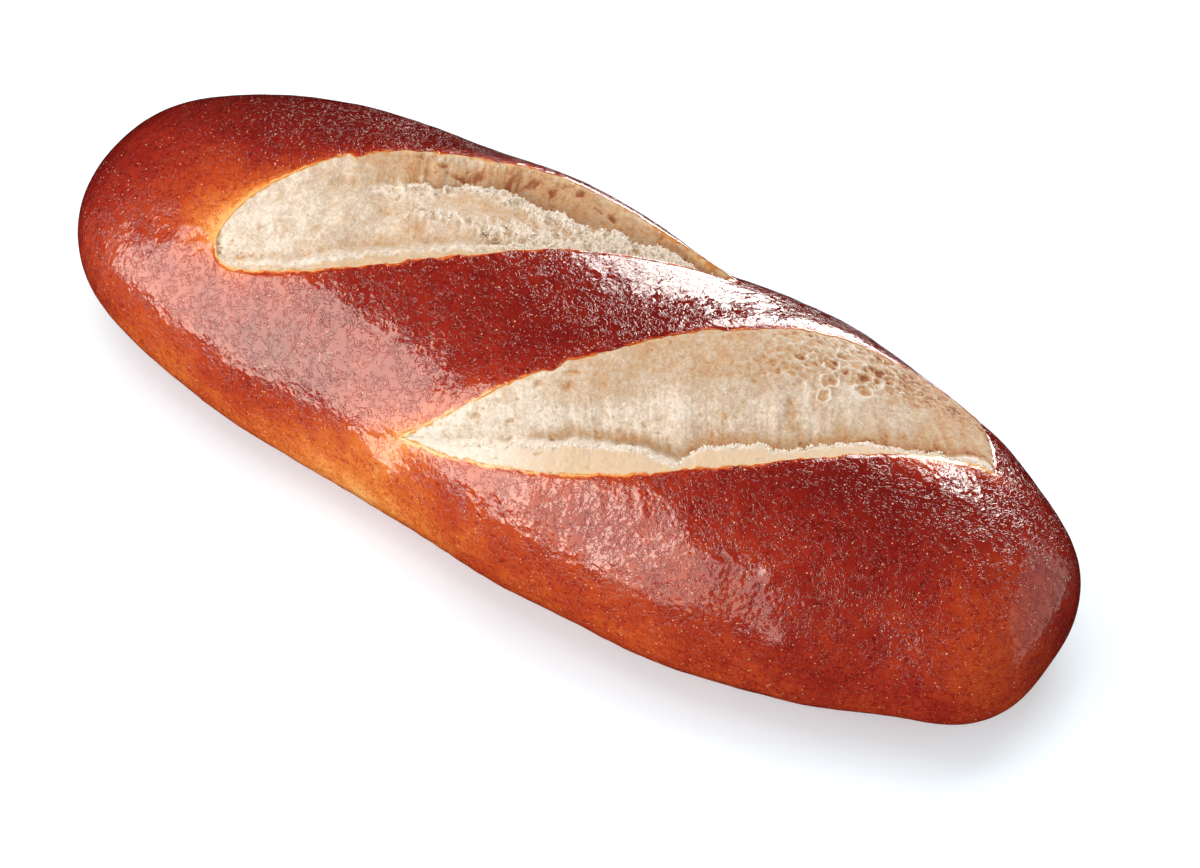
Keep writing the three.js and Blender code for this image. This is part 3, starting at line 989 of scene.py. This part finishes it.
def crust_material():
    n = Nodes("glossy_lye_crust")
    wrinkles = n.math("MULTIPLY", wrinkles_of(n, 1.2, 0.045), wrinkles_of(n, 0.7, 0.07))
    rim = rim_of(n, 3, (-0.2, 0.4), (-0.4, 0.2), 0.5)
    browning = add_mottle(n, n.attribute("browning"), [(6, 0.06), (1.3, 0.03), (0.45, 0.03)])
    # Darker colour in the creases is painted shade, so that they read dark even where no light reflects in
    # them.
    browning = n.math("ADD", browning, n.between(wrinkles, 0.0, 1.0, 0.18, -0.02))
    colour = n.ramp(n.math("SUBTRACT", browning, rim), CRUST_COLOURS)
    speck = n.math("MAXIMUM", specks_of(n, 0.8, 0.2), specks_of(n, 0.4, 0.15))
    # The pale specks are partly painted glints on tiny blisters.
    colour = n.mix(n.math("MULTIPLY", speck, 0.75), colour, SPECK_AND_GLINT_COLOUR)
    n.link(colour, n.shader.inputs["Base Color"])
    n.link(n.between(n.noise(9, 2), 0.3, 0.7, 0.03, 0.06), n.shader.inputs["Roughness"])
    n.shader.inputs["Specular IOR Level"].default_value = 0.5
    normal = n.bump(n.between(n.attribute("lip_distance"), 0.0, 0.8), 0.14)
    normal = n.bump(n.noise(1.4, 1), 0.13, normal)
    normal = n.bump(wrinkles, 0.03, normal)
    normal = n.bump(n.noise(0.8, 0), 0.03, normal)
    normal = n.bump(speck, 0.04, normal)
    n.link(normal, n.shader.inputs["Normal"])
    return n.material


CRUMB_COLOURS = [
    (0.0, (0.76, 0.65, 0.545)),
    (0.15, (0.64, 0.52, 0.405)),
    (0.35, (0.55, 0.395, 0.265)),
    (0.6, (0.52, 0.29, 0.14)),
    (1.0, (0.30, 0.09, 0.035)),
]
# The flakes' palette is paler than the crumb's: partly painted light, as torn flakes catch the light from
# behind.
FLAKE_COLOURS = [(0.0, (1.0, 0.87, 0.71)), (1.0, (0.92, 0.72, 0.52))]
CRUMB_LEDGE = (0.57, 0.37, 0.19)
CRUMB_GOLD = (0.72, 0.49, 0.24)
CRUMB_RIM = (0.60, 0.24, 0.05)
CRUMB_SCATTER = (0.6 * MM, 0.4 * MM, 0.25 * MM)  # how far red, green and blue light spreads in the crumb


def crumb_material(name, colours, specular):
    n = Nodes(name)
    brown_and_painted_light = add_mottle(n, n.attribute("brown_and_painted_light"), [(3.0, 0.08), (0.9, 0.09), (0.35, 0.1)])
    colour = n.ramp(brown_and_painted_light, colours)
    colour = n.mix(n.math("MULTIPLY", n.attribute("ledge"), 0.65), colour, CRUMB_LEDGE)
    colour = n.mix(n.between(n.noise(2.2, 3, 0.6), 0.55, 0.75, 0.0, 0.4), colour, CRUMB_GOLD)
    colour = n.mix(rim_of(n, 2, (0.05, 0.5), (-0.3, 0.6)), colour, CRUMB_GOLD)
    colour = n.mix(rim_of(n, 1.5, (-0.2, 0.35), (-0.15, 0.2)), colour, CRUMB_RIM)
    n.link(colour, n.shader.inputs["Base Color"])
    torn = n.attribute("torn")
    n.link(n.between(torn, 0.0, 1.0, 0.65, 0.35), n.shader.inputs["Roughness"])
    n.shader.inputs["Specular IOR Level"].default_value = specular
    n.shader.inputs["Subsurface Weight"].default_value = 0.4
    n.shader.inputs["Subsurface Radius"].default_value = CRUMB_SCATTER
    n.shader.inputs["Subsurface Scale"].default_value = 1.0
    normal = n.bump(n.noise(0.4, 3, 0.6), 0.15)
    normal = n.bump(n.math("MULTIPLY", n.noise(0.6, 2), torn), 0.14, normal)
    n.link(normal, n.shader.inputs["Normal"])
    return n.material


# ---- Studio ----


def aim(obj, target, azimuth, elevation, distance):
    """Looks at a target from an azimuth, where 0 is in front of the roll, an elevation and a distance."""
    a, e = math.radians(azimuth), math.radians(elevation)
    back = Vector((math.sin(a) * math.cos(e), -math.cos(a) * math.cos(e), math.sin(e)))
    turn = back.to_track_quat("Z", "Y").to_matrix().to_4x4()
    obj.matrix_world = Matrix.Translation(target + back * distance) @ turn


# The photo's view of the roll, in degrees and metres
CAMERA_TARGET = Vector((8.97, -1.32, 13.45)) * MM
CAMERA_AZIMUTH = 33.66
CAMERA_ELEVATION = 50
CAMERA_DISTANCE = 0.53
CAMERA_LENS = 100


def make_camera():
    camera = add_object("camera", bpy.data.cameras.new("camera"))
    camera.data.lens = CAMERA_LENS
    aim(camera, CAMERA_TARGET, CAMERA_AZIMUTH, CAMERA_ELEVATION, CAMERA_DISTANCE)
    bpy.context.scene.camera = camera


LIGHT_TARGET = Vector((0, 0, 0.02))
LIGHT_DISTANCE = 0.9
WARM_WHITE = (1.0, 0.95, 0.84)
SOFT_WHITE = (1.0, 0.96, 0.91)


def make_light(name, azimuth, elevation, size, power, colour=(1, 1, 1), glossy=True, diffuse=True):
    """A panel, at angles in degrees and of a size in m, that lights the roll, shows in its gloss, or both."""
    light = bpy.data.lights.new(name, "AREA")
    light.shape = "RECTANGLE"
    light.size, light.size_y = size
    light.energy = power
    light.color = colour
    obj = add_object(name, light)
    aim(obj, LIGHT_TARGET, azimuth, elevation, LIGHT_DISTANCE)
    obj.visible_camera = False
    obj.visible_glossy = glossy
    obj.visible_diffuse = diffuse


FLOOR_SIZE = 6.0
FLOOR_COLOURS = ((0.71, 0.82, 0.87), (0.73, 0.84, 0.89))
FLOOR_GLOW = (0.96, 0.97, 1.0, 1)


def make_floor():
    mesh = bpy.data.meshes.new("floor")
    corners = [(x * FLOOR_SIZE / 2, y * FLOOR_SIZE / 2, 0) for x, y in ((-1, -1), (1, -1), (1, 1), (-1, 1))]
    mesh.from_pydata(corners, [], [(0, 1, 2, 3)])
    floor = add_object("floor", mesh)
    n = Nodes("pale_floor")
    n.link(n.mix(n.noise(900, 1), *FLOOR_COLOURS), n.shader.inputs["Base Color"])
    n.shader.inputs["Roughness"].default_value = 0.9
    n.shader.inputs["Specular IOR Level"].default_value = 0.1
    n.shader.inputs["Emission Color"].default_value = FLOOR_GLOW
    n.shader.inputs["Emission Strength"].default_value = 0.3
    mesh.materials.append(n.material)
    floor.visible_glossy = False


def make_world():
    world = bpy.data.worlds.new("studio")
    world.use_nodes = True
    background = world.node_tree.nodes["Background"]
    background.inputs["Color"].default_value = (1.0, 0.99, 0.97, 1)
    background.inputs["Strength"].default_value = 0.62
    world.cycles_visibility.glossy = False
    bpy.context.scene.world = world


def make_studio():
    bpy.context.scene.view_settings.view_transform = "Standard"
    make_world()
    make_floor()
    make_light("front_softbox", -30, 14, (0.75, 0.75), 6.8, glossy=False)
    make_light("back_softbox", 178, 66, (0.5, 0.5), 2.6, glossy=False)
    make_light("key_light", -80, 74, (0.5, 0.5), 2.2, glossy=False)
    make_light("front_sheen", -36, 16, (0.85, 1.0), 20.0, WARM_WHITE, diffuse=False)
    make_light("front_glow", -6, 12, (0.5, 0.8), 4.6, WARM_WHITE, diffuse=False)
    make_light("side_sheen", 120, 5, (1.0, 1.0), 3.6, WARM_WHITE, diffuse=False)
    make_light("back_sheen", -171, 14, (0.45, 0.85), 19.0, SOFT_WHITE, diffuse=False)
    make_light("tip_sheen", 168, 38, (0.2, 0.2), 3.0, SOFT_WHITE, diffuse=False)


# ---- Making the roll ----


def fit_to_frame(objects):
    """Moves the form to the frame's place and keeps it inside the solid's box."""
    low, high = (np.array(corner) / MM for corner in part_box("roll"))
    points = points_of(objects[0])
    shift = (low + high) / 2 - (points.min(0) + points.max(0)) / 2
    shift[2] = low[2] - points[:, 2].min()
    for obj in objects:
        set_points(obj, np.clip(points_of(obj) + shift, low, high))


def main():
    make_camera()
    make_studio()
    crust = make_crust()
    first, *first_patch = make_crumb("first_crumb", FIRST, first_relief)
    second, *second_patch = make_crumb("second_crumb", SECOND, second_relief)
    flakes = make_flakes([(*first_patch, FLAKE_COUNTS[0]), (*second_patch, FLAKE_COUNTS[1])])
    fit_to_frame([crust, first, second, flakes])
    crust.data.materials.clear()
    crust.data.materials.append(crust_material())
    crumb = crumb_material("torn_crumb", CRUMB_COLOURS, 0.2)
    first.data.materials.append(crumb)
    second.data.materials.append(crumb)
    flakes.data.materials.append(crumb_material("crumb_flakes", FLAKE_COLOURS, 0.0))
    for piece in (crust, first, second, flakes):
        piece.data.shade_smooth()
        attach(piece, "root")
        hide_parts("roll")
    crust.data.set_sharp_from_angle(angle=SHADING_TURN)


main()
